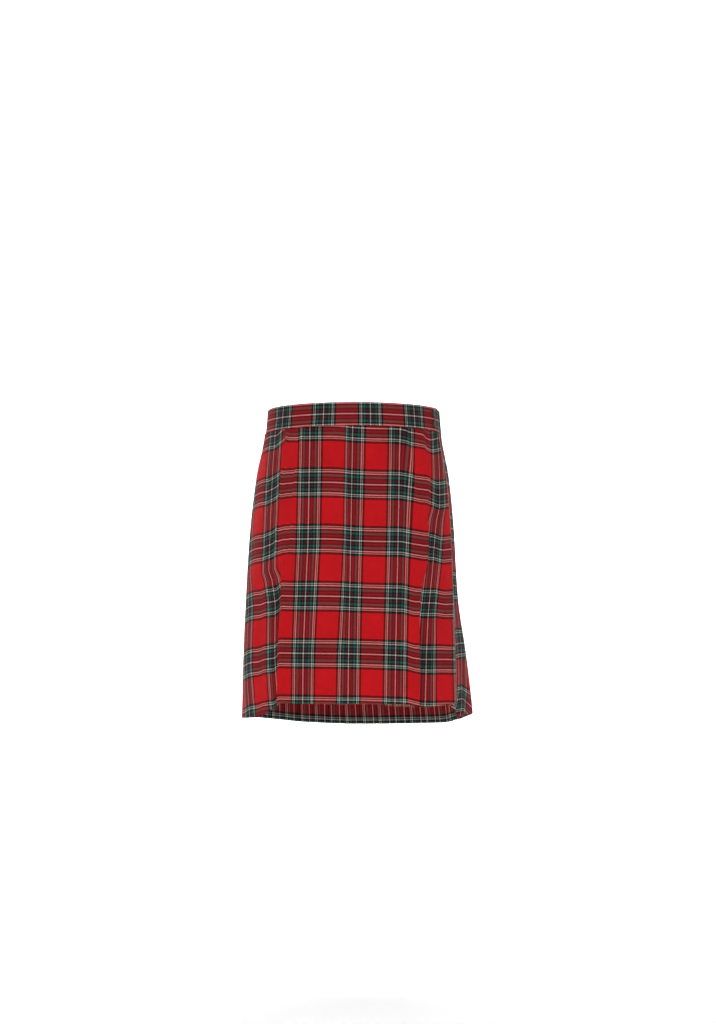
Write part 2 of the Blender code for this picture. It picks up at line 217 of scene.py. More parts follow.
def soft_fold(level, fall, table, towards):
    """Run and rise along a fold. Its edge points along the run for towards=1 and back along it for -1."""
    size = read_row(table, fall)
    radius = size["gap"] / 2
    turns = [math.pi * i / BEND_STEPS for i in range(BEND_STEPS + 1)]
    folded = [(-FOLD_REACH * lead.reach, size["gap"] * lead.gap) for lead in FOLD_LEADS]
    folded += [(radius * (math.sin(turn) - 1), radius * (1 + math.cos(turn))) for turn in turns]
    folded += [(-size["depth"] / 2, 0.0)]
    folded += [(radius * (1 - math.sin(turn)) - size["depth"], radius * (math.cos(turn) - 1))
               for turn in turns]
    folded += [(-size["depth"] / 3, -size["gap"])]
    folded += [(FOLD_REACH * lead.reach, -size["gap"] * lead.gap) for lead in FOLD_LEADS[::-1]]
    folded = np.array(folded)
    flat = np.column_stack([np.linspace(-FOLD_REACH, FOLD_REACH, len(folded)), np.zeros(len(folded))])
    path = flat + (folded - flat) * size["fullness"]
    path[:, 0] = level.run(size["azimuth"]) + towards * path[:, 0]
    return path[::towards]


# %% [markdown]
# The knife pleats.
#
# A knife pleat is one deep fold pressed to one side, so there are three layers of cloth at every place: the
# face that shows, the leg that runs back under it, and the face of the next pleat. They are drawn as slanted
# parallel lines with a narrow bend at each end. A kilt maker takes the same part of the check to every edge,
# so each pleat shows the same stripe. Towards the hem the pleats loosen, and no two hang quite alike.

# %% The zigzag of the pleats
PLEAT_COUNT = 17
PLEAT_JOIN = 9
PLEATS_FROM_AZIMUTH = 97
PLEATS_TO_AZIMUTH = 255
LAYER_GAP = 1.8 * MM
PLEAT_DEPTH_TOP = 0.78
PLEAT_DEPTH_HEM = 0.86
PLEAT_OPENING = 0.55
PLEAT_UNEVENNESS = 0.22
PLEAT_LEAD = 55 * MM
PLEAT_SWAY = 1.6 * MM
FACE_COLUMNS = 3


def spread(start, end, count):
    """Points on the straight line between two points, without its ends."""
    shares = np.arange(1, count + 1)[:, None] / (count + 1)
    return np.array(start) + (np.array(end) - np.array(start)) * shares


def sway(fall, number):
    """A pleat's edge wanders a little from the straight, more towards the hem."""
    return (PLEAT_SWAY * fall * math.sin(1.7 * number + 3.1 * fall)
            + 0.4 * PLEAT_SWAY * math.sin(9 * fall + number))


def pleat_sizes(level, fall, number):
    """Start, pitch, depth and half height of the pleats, for one pleat."""
    start = level.run(PLEATS_FROM_AZIMUTH)
    pitch = (level.run(PLEATS_TO_AZIMUTH) - start) / PLEAT_COUNT
    depth = pitch * (PLEAT_DEPTH_TOP + (PLEAT_DEPTH_HEM - PLEAT_DEPTH_TOP) * fall)
    closed = LAYER_GAP * (pitch + depth) / pitch
    uneven = PLEAT_UNEVENNESS * (1 + math.sin(2.4 * number))
    return start, pitch, depth, closed * (1 + (PLEAT_OPENING + uneven) * fall ** 2)


def pleat_edge(level, fall, number):
    start, pitch, _, height = pleat_sizes(level, fall, number)
    run = start + (number + 1) * pitch + sway(fall, number)
    half = LAYER_GAP / 2
    return np.array([(run - half, height), (run, height - half), (run - half, height - LAYER_GAP)])


def pleat_root(level, fall, number):
    start, pitch, depth, height = pleat_sizes(level, fall, number)
    run = start + number * pitch - depth + sway(fall, number - 1)
    half = LAYER_GAP / 2
    return np.array([(run + half, LAYER_GAP - height), (run, half - height), (run + half, -height)])


def leg_middle(level, fall, number, side):
    """The middle of the hidden leg before a pleat, half a seam to one side of it."""
    upper, lower = pleat_edge(level, fall, number - 1)[-1], pleat_root(level, fall, number)[0]
    step = (upper - lower) / np.linalg.norm(upper - lower) * (SEAM / 2)
    return (upper + lower) / 2 + step * side


# %% [markdown]
# The way of the cloth, stretch by stretch.
#
# Each function gives one level of a stretch as a path of run and rise. The three stretches meet in the
# hidden legs of the first and last pleats, where a kilt maker joins lengths of cloth so that no seam shows.
# Corners are then cut twice, which turns every bend of the path into a small curve.

# %% Paths of the stretches
FREE_SIDE_COLUMNS = 2
PANEL_COLUMNS = 9
LEFT_SIDE_COLUMNS = 5
UNDER_COLUMNS = 24
UNDER_BAND_RISE = -3.3 * MM
UNDER_HEM_RISE = -9.5 * MM
UNDER_FROM_AZIMUTH = 256
UNDER_FULL_AZIMUTH = 283


def apron_path(level, fall):
    free = (level.run(read_row(FREE_EDGE, fall)["azimuth"]), 0.0)
    right = soft_fold(level, fall, RIGHT_FOLD, -1)
    left = soft_fold(level, fall, LEFT_FOLD, 1)
    edge = pleat_edge(level, fall, -1)
    lead = (edge[0][0] - PLEAT_LEAD, 0.0)
    return np.vstack([
        free, spread(free, right[0], FREE_SIDE_COLUMNS), right,
        spread(right[-1], left[0], PANEL_COLUMNS), left,
        spread(left[-1], lead, LEFT_SIDE_COLUMNS), lead, spread(lead, edge[0], FACE_COLUMNS),
        edge, leg_middle(level, fall, 0, 1),
    ])


def pleats_path(level, fall, first, last):
    path = [leg_middle(level, fall, first, -1)]
    for number in range(first, last):
        if number > first:
            path.append(leg_middle(level, fall, number, 0))
        root, edge = pleat_root(level, fall, number), pleat_edge(level, fall, number)
        path += [root, spread(root[-1], edge[0], FACE_COLUMNS), edge]
    return np.vstack(path + [leg_middle(level, fall, last, 1)])


def under_rise(azimuth, deepest):
    return deepest * ease(UNDER_FROM_AZIMUTH, UNDER_FULL_AZIMUTH, azimuth)


def under_path(level, fall):
    root = pleat_root(level, fall, PLEAT_COUNT)
    lead_run = root[-1][0] + PLEAT_LEAD
    runs = np.linspace(lead_run, level.run(UNDER_END_AZIMUTH), UNDER_COLUMNS + 1)
    deepest = UNDER_BAND_RISE + (UNDER_HEM_RISE - UNDER_BAND_RISE) * fall
    flat = np.column_stack([runs, under_rise(level.azimuth(runs), deepest)])
    return np.vstack([leg_middle(level, fall, PLEAT_COUNT, -1), root,
                      spread(root[-1], (lead_run, 0.0), FACE_COLUMNS), flat])


def cut_corners(path, times):
    """Chaikin's rule: every corner gives way to two points, a quarter of the way along its sides."""
    for _ in range(times):
        before, after = path[:-1], path[1:]
        inner = np.stack([0.75 * before + 0.25 * after, 0.25 * before + 0.75 * after], axis=1)
        path = np.vstack([path[:1], inner.reshape(-1, 2), path[-1:]])
    return path


# %% [markdown]
# Creases.
#
# Wool that has been sat in and walked in never hangs dead flat. These are long shallow ridges and troughs,
# placed over the seat, down the thighs and out at the hem. They move every layer of the cloth
# together, so the pleats keep their order.

# %% Creases placed one by one
Crease = namedtuple("Crease", "azimuth_top azimuth_hem fall_from fall_to width rise")
CREASES = [
    Crease(-20, -14, 0.35, 1.30, 7, 1.6 * MM), Crease(-8, -3, 0.55, 1.30, 5, -1.3 * MM),
    Crease(12, 9, 0.30, 1.25, 8, 1.2 * MM), Crease(26, 24, 0.50, 1.30, 6, -1.6 * MM),
    Crease(-58, -49, 0.15, 1.20, 5, -2.6 * MM), Crease(60, 57, 0.40, 1.30, 6, -2.6 * MM),
    Crease(76, 74, 0.30, 1.30, 8, 2.4 * MM), Crease(97, 96, 0.45, 1.20, 7, -2.0 * MM),
    Crease(118, 121, 0.35, 1.30, 8, 3.4 * MM), Crease(141, 146, 0.40, 1.30, 7, -3.8 * MM),
    Crease(166, 168, 0.30, 1.30, 9, 3.6 * MM), Crease(189, 192, 0.50, 1.30, 7, -3.6 * MM),
    Crease(212, 214, 0.35, 1.30, 8, 3.8 * MM), Crease(236, 238, 0.40, 1.30, 7, -3.2 * MM),
    Crease(262, 268, 0.45, 1.30, 7, 2.8 * MM), Crease(281, 284, 0.50, 1.30, 6, -2.4 * MM),
]


def crease_rise(azimuth, fall):
    """What the creases add to the rise at azimuths of one level."""
    total = np.zeros_like(azimuth)
    for crease in CREASES:
        middle = crease.azimuth_top + (crease.azimuth_hem - crease.azimuth_top) * fall
        share = (fall - crease.fall_from) / (crease.fall_to - crease.fall_from)
        strength = math.sin(math.pi * min(max(share, 0), 1)) ** 2
        for turn in (0, 360):
            total += crease.rise * strength * np.exp(-((azimuth - middle - turn) / crease.width) ** 2)
    return total


# %% [markdown]
# A sheet of cloth from a grid.
#
# Blender's grid operator gives a flat sheet with its rows and columns in order. Every point of it is moved to
# its place on the form, and the UV map is set to the cloth's own measure in metres: across, the length along
# the path, and up, the length from the hem. The skirt widens as it falls, so its cloth is a little longer
# than its height. Solidify then gives the sheet the thickness of the wool.

# %% Build one stretch of cloth
ROWS = 96
CORNER_CUTS = 2
SLANT = 1.006


def mesh_from(bm, name):
    """Turn a finished bmesh into a mesh."""
    mesh = bpy.data.meshes.new(name)
    bm.to_mesh(mesh)
    bm.free()
    return mesh


def grid_mesh(name, points, across, up):
    """A grid whose points, and whose UV in metres, come from arrays of rows and columns."""
    rows, columns = points.shape[:2]
    bm = bmesh.new()
    bmesh.ops.create_grid(bm, x_segments=columns - 1, y_segments=rows - 1, size=1.0)
    bm.verts.index_update()
    uv_layer = bm.loops.layers.uv.new("UVMap")
    place = {}
    for vert in bm.verts:
        i = round((vert.co.x + 1) / 2 * (columns - 1))
        j = round((vert.co.y + 1) / 2 * (rows - 1))
        place[vert.index] = (across[j, i], up[j, i])
        vert.co = points[j, i]
    for face in bm.faces:
        for loop in face.loops:
            loop[uv_layer].uv = place[loop.vert.index]
        face.smooth = True
    return mesh_from(bm, name)


def add_piece(name, mesh, material):
    piece = bpy.data.objects.new(name, mesh)
    bpy.context.scene.collection.objects.link(piece)
    mesh.materials.append(material)
    return piece


def hang(span, path_at):
    """Points, path lengths, heights above the hem and azimuths reached for a stretch, and its levels.

    The first row is the hem, and a thread that starts there keeps its share of the height all the way up.
    Where the cloth folds back, its threads keep the height that they had at the fold's edge.
    """
    falls = np.linspace(1, 0, ROWS)
    points, lengths, up, reached, levels = [], [], [], [], []
    for fall in falls:
        level = cloth_level(span, fall)
        path = cut_corners(path_at(level, fall), CORNER_CUTS)
        azimuths = level.azimuth(path[:, 0])
        points.append(level.place(path[:, 0], path[:, 1] + crease_rise(azimuths, fall)))
        reached.append(np.maximum.accumulate(azimuths))
        height = cloth_z(reached[0], 0.0) - cloth_z(reached[0], 1.0)
        up.append((1 - fall) * height * SLANT)
        steps = np.linalg.norm(np.diff(path, axis=0), axis=1)
        lengths.append(np.concatenate([[0.0], np.cumsum(steps)]))
        levels.append((level, fall, path))
    return np.array(points), np.array(lengths), np.array(up), np.array(reached), levels


def cut_size(lengths, up):
    """The flat width and length of a stretch: its mean path, and its mean height over the hem."""
    return float(lengths.mean(axis=0)[-1]), float((up[-1] - up[0]).mean())


def thicken(piece, wall):
    solidify = piece.modifiers.new("wool", "SOLIDIFY")
    solidify.thickness = wall
    solidify.offset = 0
    solidify.use_rim = True


# %% [markdown]
# The shader's building block.
#
# Every material below is a graph of small nodes. One helper makes a node, sets its values and links its
# inputs, so each finish reads as a list of what it does. Colours are given as the eye sees them, in sRGB hex,
# and turned to the linear values that light needs.

# %% Node and colour helpers
def linear(hex_colour):
    """An sRGB hex colour as linear RGBA."""
    channels = [int(hex_colour[i:i + 2], 16) / 255 for i in (1, 3, 5)]
    return (*[c / 12.92 if c <= 0.04045 else ((c + 0.055) / 1.055) ** 2.4 for c in channels], 1.0)


def add_node(tree, kind, links=None, values=None, **settings):
    """Add a node, set its settings and input values, and link inputs to other nodes' outputs."""
    node = tree.nodes.new(kind)
    for key, value in settings.items():
        setattr(node, key, value)
    for key, value in (values or {}).items():
        node.inputs[key].default_value = value
    for key, output in (links or {}).items():
        tree.links.new(output, node.inputs[key])
    return node


def new_material(name):
    material = bpy.data.materials.new(name)
    material.use_nodes = True
    tree = material.node_tree
    return material, tree, tree.nodes["Principled BSDF"]


# %% [markdown]
# The sett.
#
# A tartan is one list of stripes, the sett, read from its centre line out to the middle of the ground and
# back again, the same both ways. This is the old red check of countless kilts: a white line in a dark band
# with green, then a pair of pale lines, then plain red. Where warp and weft cross in the same colour the
# cloth is full strength, and elsewhere the twill shows half of each. The weft's repeat measures 108 mm and
# the warp's 90 mm.

# %% The list of stripes
Stripe = namedtuple("Stripe", "width colour")
WOOL = {"white": "#C4C0BA", "black": "#060405", "red": "#B91017", "maroon": "#4A2024", "navy": "#0D0E18",
        "green": "#265A4B", "cream": "#B0A696"}
HALF_SETT = [
    Stripe(1.2, "white"), Stripe(3.4, "black"), Stripe(3.1, "maroon"), Stripe(3.7, "navy"),
    Stripe(4.2, "green"), Stripe(3.3, "black"), Stripe(2.3, "white"), Stripe(1.7, "black"),
    Stripe(2.0, "cream"), Stripe(4.3, "black"), Stripe(24.95, "red"),
]
WEFT_REPEAT = 108.3 * MM
WARP_REPEAT = 90 * MM
CENTRE_BELOW_HEM = 12.5 * MM
sett_width = sum(stripe.width for stripe in HALF_SETT)
print("half sett of", sett_width, "mm in", len(HALF_SETT), "stripes")


def sett_ramp(tree, coordinate, repeat):
    """The colour of the yarn at a distance across its stripes."""
    folded = add_node(tree, "ShaderNodeMath", {0: coordinate}, {1: repeat / 2}, operation="PINGPONG")
    share = add_node(tree, "ShaderNodeMath", {0: folded.outputs[0]}, {1: repeat / 2}, operation="DIVIDE")
    ramp = add_node(tree, "ShaderNodeValToRGB", {0: share.outputs[0]})
    ramp.color_ramp.interpolation = "CONSTANT"
    start = 0.0
    for number, stripe in enumerate(HALF_SETT):
        stops = ramp.color_ramp.elements
        stop = stops[0] if number == 0 else stops[1] if number == 1 else stops.new(start)
        stop.position = start
        stop.color = linear(WOOL[stripe.colour])
        start += stripe.width / sett_width
    return ramp.outputs["Color"]


# %% [markdown]
# Twill-woven wool.
#
# In a two-and-two twill each yarn goes over two and under two, one step over in every row, which draws fine
# diagonal ribs. Real ribs of this cloth are about 1 mm apart. They are drawn 1.4 mm apart here so that they
# still show when the camera comes near. The ribs choose whether warp or weft is on top and raise the surface
# a little, and loose fibre leaves a faint sheen. Dark yarn shades the yarn beside it, and this shade is
# painted
# into the colour: the two colours are mixed between two Gamma nodes, which darkens the mix, so a black line
# stays dark across red. Streaks along each yarn and broad drifts of tone keep the dye from looking like
# paint.

# %% Weave the tartan
RIB = 1.4 * MM
RIB_HEIGHT = 0.12 * MM
RIB_SIDES = 0.6
LEAST_WARP, MOST_WARP = 0.35, 0.65
YARN = 0.55 * MM
YARN_STREAKS = 40.0
YARN_SHADE = 0.22
DYE_DRIFT = (22.0, 14.0, 0.0)
DYE_SHADE = 0.07
# Gamma in which warp and weft are mixed; mixing there paints the shade that dark yarn casts on the yarn
# beside it.
SHADE_MIX_GAMMA = 2.2


def woven_wool(name, centre_across=0.0, centre_up=0.0, roughness=0.88):
    material, tree, shader = new_material(name)
    place = add_node(tree, "ShaderNodeUVMap", uv_map="UVMap")
    axes = add_node(tree, "ShaderNodeSeparateXYZ", {0: place.outputs[0]})
    across = add_node(tree, "ShaderNodeMath", {0: axes.outputs[0]}, {1: centre_across}, operation="ADD")
    up = add_node(tree, "ShaderNodeMath", {0: axes.outputs[1]}, {1: centre_up}, operation="ADD")
    yarns_for_shaded_mix = []
    for measure, repeat in ((up, WEFT_REPEAT), (across, WARP_REPEAT)):
        colour = sett_ramp(tree, measure.outputs[0], repeat)
        seen = add_node(tree, "ShaderNodeGamma", {"Color": colour}, {"Gamma": 1 / SHADE_MIX_GAMMA})
        yarns_for_shaded_mix.append(seen.outputs[0])

    both = add_node(tree, "ShaderNodeMath", {0: across.outputs[0], 1: up.outputs[0]}, operation="ADD")
    phase = add_node(tree, "ShaderNodeMath", {0: both.outputs[0]}, {1: 2 * math.pi / RIB},
                     operation="MULTIPLY")
    rib = add_node(tree, "ShaderNodeMath", {0: phase.outputs[0]}, operation="SINE")
    over = add_node(tree, "ShaderNodeMapRange", {0: rib.outputs[0]},
                    {1: -RIB_SIDES, 2: RIB_SIDES, 3: LEAST_WARP, 4: MOST_WARP},
                    interpolation_type="SMOOTHSTEP")
    # The mix in gamma space paints the shade that dark yarn casts on the yarn beside it.
    mixed = add_node(tree, "ShaderNodeMix", {0: over.outputs[0], 6: yarns_for_shaded_mix[0], 7: yarns_for_shaded_mix[1]},
                     data_type="RGBA")
    cloth = add_node(tree, "ShaderNodeGamma", {"Color": mixed.outputs[2]}, {"Gamma": SHADE_MIX_GAMMA})

    shades = []
    for stretch in ((1 / YARN, YARN_STREAKS, 0.0), (YARN_STREAKS, 1 / YARN, 0.0), DYE_DRIFT):
        spot = add_node(tree, "ShaderNodeMapping", {"Vector": place.outputs[0]}, {"Scale": stretch})
        noise = add_node(tree, "ShaderNodeTexNoise", {"Vector": spot.outputs[0]},
                         {"Scale": 1.0, "Detail": 2.0})
        shades.append(noise.outputs["Fac"])
    yarns = add_node(tree, "ShaderNodeMath", {0: shades[0], 1: shades[1]}, operation="ADD")
    yarn_light = add_node(tree, "ShaderNodeMapRange", {0: yarns.outputs[0]},
                          {1: 0.6, 2: 1.4, 3: 1 - YARN_SHADE, 4: 1 + YARN_SHADE})
    dye_light = add_node(tree, "ShaderNodeMapRange", {0: shades[2]},
                         {1: 0.3, 2: 0.7, 3: 1 - DYE_SHADE, 4: 1 + DYE_SHADE})
    light = add_node(tree, "ShaderNodeMath", {0: yarn_light.outputs[0], 1: dye_light.outputs[0]},
                     operation="MULTIPLY")
    tinted = add_node(tree, "ShaderNodeVectorMath", {0: cloth.outputs[0], "Scale": light.outputs[0]},
                      operation="SCALE")
    tree.links.new(tinted.outputs[0], shader.inputs["Base Color"])

    height = add_node(tree, "ShaderNodeMath", {0: rib.outputs[0], 1: yarns.outputs[0]}, operation="ADD")
    bump = add_node(tree, "ShaderNodeBump", {"Height": height.outputs[0]},
                    {"Strength": 0.5, "Distance": RIB_HEIGHT})
    tree.links.new(bump.outputs[0], shader.inputs["Normal"])
    shader.inputs["Roughness"].default_value = roughness
    shader.inputs["Specular IOR Level"].default_value = 0.12
    shader.inputs["Sheen Weight"].default_value = 0.015
    shader.inputs["Sheen Roughness"].default_value = 0.5
    return material


apron_wool = woven_wool("twill-woven wool tartan, apron", 0.0, CENTRE_BELOW_HEM)
print("wool material:", apron_wool.name)

# %% [markdown]
# The outer apron.
#
# This is the flat end of the cloth, from its free edge across the back to the left side. A white line of the
# check runs just beside centre back, and everything across is measured from it. Worn wool stretches and
# slips, so its check never runs dead true. A short table gives that drift: how many millimetres the lines
# have moved across and down at a few places round the body, high up, low down and at the hem.

# %% Outer apron
Line = namedtuple("Line", "fall azimuth")
CENTRE_LINE = [Line(0.00, 0.8), Line(0.50, 2.1), Line(0.70, 2.6), Line(0.92, 3.0), Line(1.00, 3.1)]
Drift = namedtuple("Drift", "azimuth across down")
DRIFT_FALLS = (0.42, 0.82, 1.0)
APRON_DRIFT = [
    Drift(-90, (11.0, 5.5, 5.5), (14.0, 11.5, 11.5)), Drift(-60, (11.0, 5.5, 5.5), (14.0, 11.5, 11.5)),
    Drift(-50, (11.0, 5.5, 5.5), (6.5, 8.5, 8.5)), Drift(-40, (11.0, 5.5, 5.5), (4.5, 6.0, 6.0)),
    Drift(-29, (2.0, 1.0, 1.0), (1.0, 3.5, 3.5)), Drift(-14, (2.0, 0.0, 0.0), (1.5, 1.5, 1.5)),
    Drift(1.5, (0.0, 0.0, 0.0), (0.0, 0.0, 0.0)), Drift(7, (10.5, 1.5, 1.0), (-2.0, -0.5, 0.0)),
    Drift(17, (9.5, 2.0, 2.0), (-3.0, -0.5, -0.5)), Drift(34, (6.0, 1.0, 1.0), (-2.5, -0.5, -0.5)),
    Drift(46, (6.0, 2.5, 5.0), (-4.5, -1.0, -1.0)), Drift(50, (8.0, 3.5, 7.0), (-8.0, -5.5, -5.5)),
    Drift(57, (10.5, 4.0, 9.0), (-13.5, -10.5, -10.5)), Drift(66, (11.0, 6.0, 15.0), (-14.0, -10.5, -9.5)),
    Drift(78, (11.5, 7.0, 14.0), (-11.0, -6.0, -3.0)), Drift(97, (7.0, 5.0, 2.0), (0.0, 0.0, 0.0)),
]
APRON_SPAN = (-90, 120)


def measured_from_line(lengths, levels, table):
    """Path lengths from a line of the check, with positive values along the run."""
    across = []
    for length, (level, fall, path) in zip(lengths, levels):
        here = np.interp(level.run(read_row(table, fall)["azimuth"]), path[:, 0], length)
        across.append(length - here)
    return np.array(across)


def drift(table, azimuths, way):
    """How far the check has moved at each point, in metres, from a table of drifts."""
    falls = np.linspace(1, 0, len(azimuths))[:, None]
    moved = np.zeros_like(azimuths)
    places = np.array([row.azimuth for row in table], dtype=float)
    for number in range(len(DRIFT_FALLS)):
        share = np.interp(falls, DRIFT_FALLS, np.eye(len(DRIFT_FALLS))[number])
        moved += share * smooth(azimuths, (places, np.array([getattr(row, way)[number] for row in table])))
    return moved * MM


points, lengths, up, azimuths, levels = hang(APRON_SPAN, apron_path)
across = measured_from_line(lengths, levels, CENTRE_LINE) + drift(APRON_DRIFT, azimuths, "across")
up = up + drift(APRON_DRIFT, azimuths, "down")
apron = add_piece("outer_apron_cloth", grid_mesh("outer_apron_cloth", points, across, up), apron_wool)
thicken(apron, CLOTH_WALL)
apron_size = cut_size(lengths, up)
print("outer apron: cloth", [round(side, 3) for side in apron_size], "m")

# %% [markdown]
# The pleated front.
#
# The two lengths of the front take the same grid and the same weave.

# %% Knife pleats
PLEAT_SPAN = (60, 280)
EDGE_FROM_LINE = 40 * MM
EDGE_SHARE = 0.83


def pleat_check(lengths, first, last):
    """Measure each pleat's cloth from its own edge, which lies EDGE_SHARE of the way through its columns."""
    columns = lengths.shape[1]
    per_pleat = (columns - 1) / (last - first)
    edges = [int(round((number + EDGE_SHARE) * per_pleat)) for number in range(last - first)]
    pleat = np.clip(np.floor(np.arange(columns) / per_pleat).astype(int), 0, last - first - 1)
    return lengths - lengths[:, edges][:, pleat] + EDGE_FROM_LINE


pleat_cuts = {}
for name, first, last in (("pleats_left", 0, PLEAT_JOIN), ("pleats_right", PLEAT_JOIN, PLEAT_COUNT)):
    points, lengths, up, azimuths, levels = hang(
        PLEAT_SPAN, lambda level, fall: pleats_path(level, fall, first, last))
    across = pleat_check(lengths, first, last)
    piece = add_piece(name + "_cloth", grid_mesh(name + "_cloth", points, across, up), apron_wool)
    thicken(piece, CLOTH_WALL)
    pleat_cuts[name] = cut_size(lengths, up)
    print(name, "cloth", [round(side, 3) for side in pleat_cuts[name]], "m")

# %% [markdown]
# The under apron.
#
# The other flat end comes out of the last pleat, flares at the right side and lies under the outer apron. Its
# check doesn't meet the apron's: the bands sit about half a repeat higher, which shows just past the free
# edge. Round the flare the cloth hangs on the slant, so the lines there run downhill.

# %% Under apron
UNDER_SPAN = (60, 400)
UNDER_LINE = [Line(0.00, 273.0), Line(0.50, 276.0), Line(0.75, 279.0), Line(0.88, 285.0), Line(1.00, 294.0)]
UNDER_CENTRE_UP = -35 * MM
UNDER_DRIFT = [
    Drift(256, (0.0, 14.0, 26.0), (6.0, 10.0, 28.0)), Drift(270, (0.0, 10.0, 20.0), (4.0, 8.0, 25.0)),
    Drift(278, (0.0, 6.0, 14.0), (2.0, 8.0, 16.0)), Drift(286, (0.0, 2.0, 8.0), (0.0, 8.0, 3.0)),
    Drift(294, (0.0, 0.0, 0.0), (0.0, 8.0, 0.0)), Drift(306, (0.0, 0.0, -13.0), (0.0, 8.0, 0.0)),
    Drift(390, (0.0, 0.0, 0.0), (0.0, 0.0, 0.0)),
]

points, lengths, up, azimuths, levels = hang(UNDER_SPAN, under_path)
across = measured_from_line(lengths, levels, UNDER_LINE) + drift(UNDER_DRIFT, azimuths, "across")
up = up + drift(UNDER_DRIFT, azimuths, "down")
under_wool = woven_wool("twill-woven wool tartan, under apron", 0.0, UNDER_CENTRE_UP)
under = add_piece("under_apron_cloth", grid_mesh("under_apron_cloth", points, across, up), under_wool)
thicken(under, CLOTH_WALL)
under_size = cut_size(lengths, up)
print("under apron: cloth", [round(side, 3) for side in under_size], "m")

# %% [markdown]
# The waistband.
#
# A straight strip, folded double over a stiffening and sewn to the top of the cloth. Its sheet is taken as
# one doubled layer, as wide as the finished band. It goes once round the waist and on beneath its own start.
# Its section is a flat oval, drawn from the seam up the outside and over the fold, and carried along the
# whole turn. The ends are closed like the boxed ends of a real band. It is cut so that one band of the check
# runs along its middle.

# %% Waistband
BAND_COLUMNS = 300
BAND_SPAN = (-90, 400)
BAND_EDGE = 1.1 * MM
BAND_SIDE_POINTS = 9
BAND_CHECK_ACROSS = 18 * MM
BAND_CHECK_UP = -21.4 * MM


def band_level(drop):
    return Level(BAND_SPAN, lambda azimuth: waist_z(azimuth) - drop)


def band_section():
    """Drops and rises round the band's section, from its lower seam up the outside and down the inside."""
    half = BAND_WALL / 2
    section = []
    for share in np.linspace(1, 0, BAND_SIDE_POINTS):
        section.append((BAND_EDGE + (BAND_HEIGHT - 2 * BAND_EDGE) * share, half))
    for turn in np.radians([45, 90, 135]):
        section.append((BAND_EDGE * (1 - math.sin(turn)), half * math.cos(turn)))
    for share in np.linspace(0, 1, BAND_SIDE_POINTS):
        section.append((BAND_EDGE + (BAND_HEIGHT - 2 * BAND_EDGE) * share, -half))
    for turn in np.radians([225, 270, 315]):
        section.append((BAND_HEIGHT - BAND_EDGE * (1 + math.sin(turn)), half * math.cos(turn)))
    return section + section[:1]


middle_level = band_level(BAND_HEIGHT / 2)
along_band = np.linspace(0, middle_level.run(UNDER_END_AZIMUTH) - middle_level.run(FREE_EDGE[0].azimuth),
                         BAND_COLUMNS)
band_points, band_across, band_up = [], [], []
around = 0.0
last_point = None
for drop, rise in band_section():
    level = band_level(drop)
    runs = np.linspace(level.run(FREE_EDGE[0].azimuth), level.run(UNDER_END_AZIMUTH), BAND_COLUMNS)
    band_points.append(level.place(runs, rise + under_rise(level.azimuth(runs), UNDER_BAND_RISE)))
    around += 0.0 if last_point is None else math.hypot(drop - last_point[0], rise - last_point[1])
    last_point = (drop, rise)
    band_across.append(along_band)
    band_up.append(np.full(BAND_COLUMNS, around))
mesh = grid_mesh("waistband_cloth", np.array(band_points), np.array(band_across), np.array(band_up))
bm = bmesh.new()
bm.from_mesh(mesh)
bmesh.ops.remove_doubles(bm, verts=bm.verts, dist=0.01 * MM)
bmesh.ops.holes_fill(bm, edges=[edge for edge in bm.edges if edge.is_boundary], sides=0)
bmesh.ops.recalc_face_normals(bm, faces=bm.faces)
bm.to_mesh(mesh)
bm.free()
band_wool = woven_wool("twill-woven wool tartan, waistband", BAND_CHECK_ACROSS, BAND_CHECK_UP,
                       roughness=0.82)
band = add_piece("waistband_cloth", mesh, band_wool)
band_size = (float(band_across[0][-1]), BAND_HEIGHT)
print("waistband: strip", [round(side, 3) for side in band_size], "m")

# %% [markdown]
# Sewing.
#
# Stitches are little more than a hair thick, but a row of them tells the eye that two pieces were joined.
# Each one is a tiny cylinder with its ends sunk into the cloth, and a loop sets them along a line, in a
# single mesh. Twisted cotton is matt with a slight gloss along the thread, and the darker diagonal bands on
# it are painted shade in the grooves of its twist.

# %% Thread
THREAD = 0.45 * MM
THREAD_SIDES = 6
STITCH = 2.6 * MM
STITCH_GAP = 1.0 * MM
STITCHES_FROM_EDGE = 3.5 * MM
STITCHES_FROM_END = 2 * MM
BAND_TURN = 358
BAND_LINE_POINTS = 400
# How dark the painted shade in the grooves of a thread's twist is.
TWIST_GROOVE_SHADE = 0.7


def cotton_thread(name, hex_colour):
    material, tree, shader = new_material(name)
    place = add_node(tree, "ShaderNodeTexCoord")
    # Diagonal bands of painted shade stand for the grooves of the twist; between them is the thread's own
    # colour.
    twist = add_node(tree, "ShaderNodeTexWave", {"Vector": place.outputs["Object"]},
                     {"Scale": 900.0, "Distortion": 1.5}, bands_direction="DIAGONAL")
    ramp = add_node(tree, "ShaderNodeMix", {0: twist.outputs["Fac"]}, data_type="RGBA")
    ramp.inputs[6].default_value = [c * TWIST_GROOVE_SHADE for c in linear(hex_colour)[:3]] + [1]
    ramp.inputs[7].default_value = linear(hex_colour)
    tree.links.new(ramp.outputs[2], shader.inputs["Base Color"])
    shader.inputs["Roughness"].default_value = 0.6
    return material


def add_stitch(bm, start, end, thickness):
    """A short thread from start to end."""
    middle, along = (start + end) / 2, end - start
    turn = along.to_track_quat("Z", "Y").to_matrix().to_4x4()
    made = bmesh.ops.create_cone(bm, cap_ends=True, segments=THREAD_SIDES, radius1=thickness / 2,
                                 radius2=thickness / 2, depth=along.length,
                                 matrix=Matrix.Translation(middle) @ turn)
    for face in {face for vert in made["verts"] for face in vert.link_faces}:
        face.smooth = True


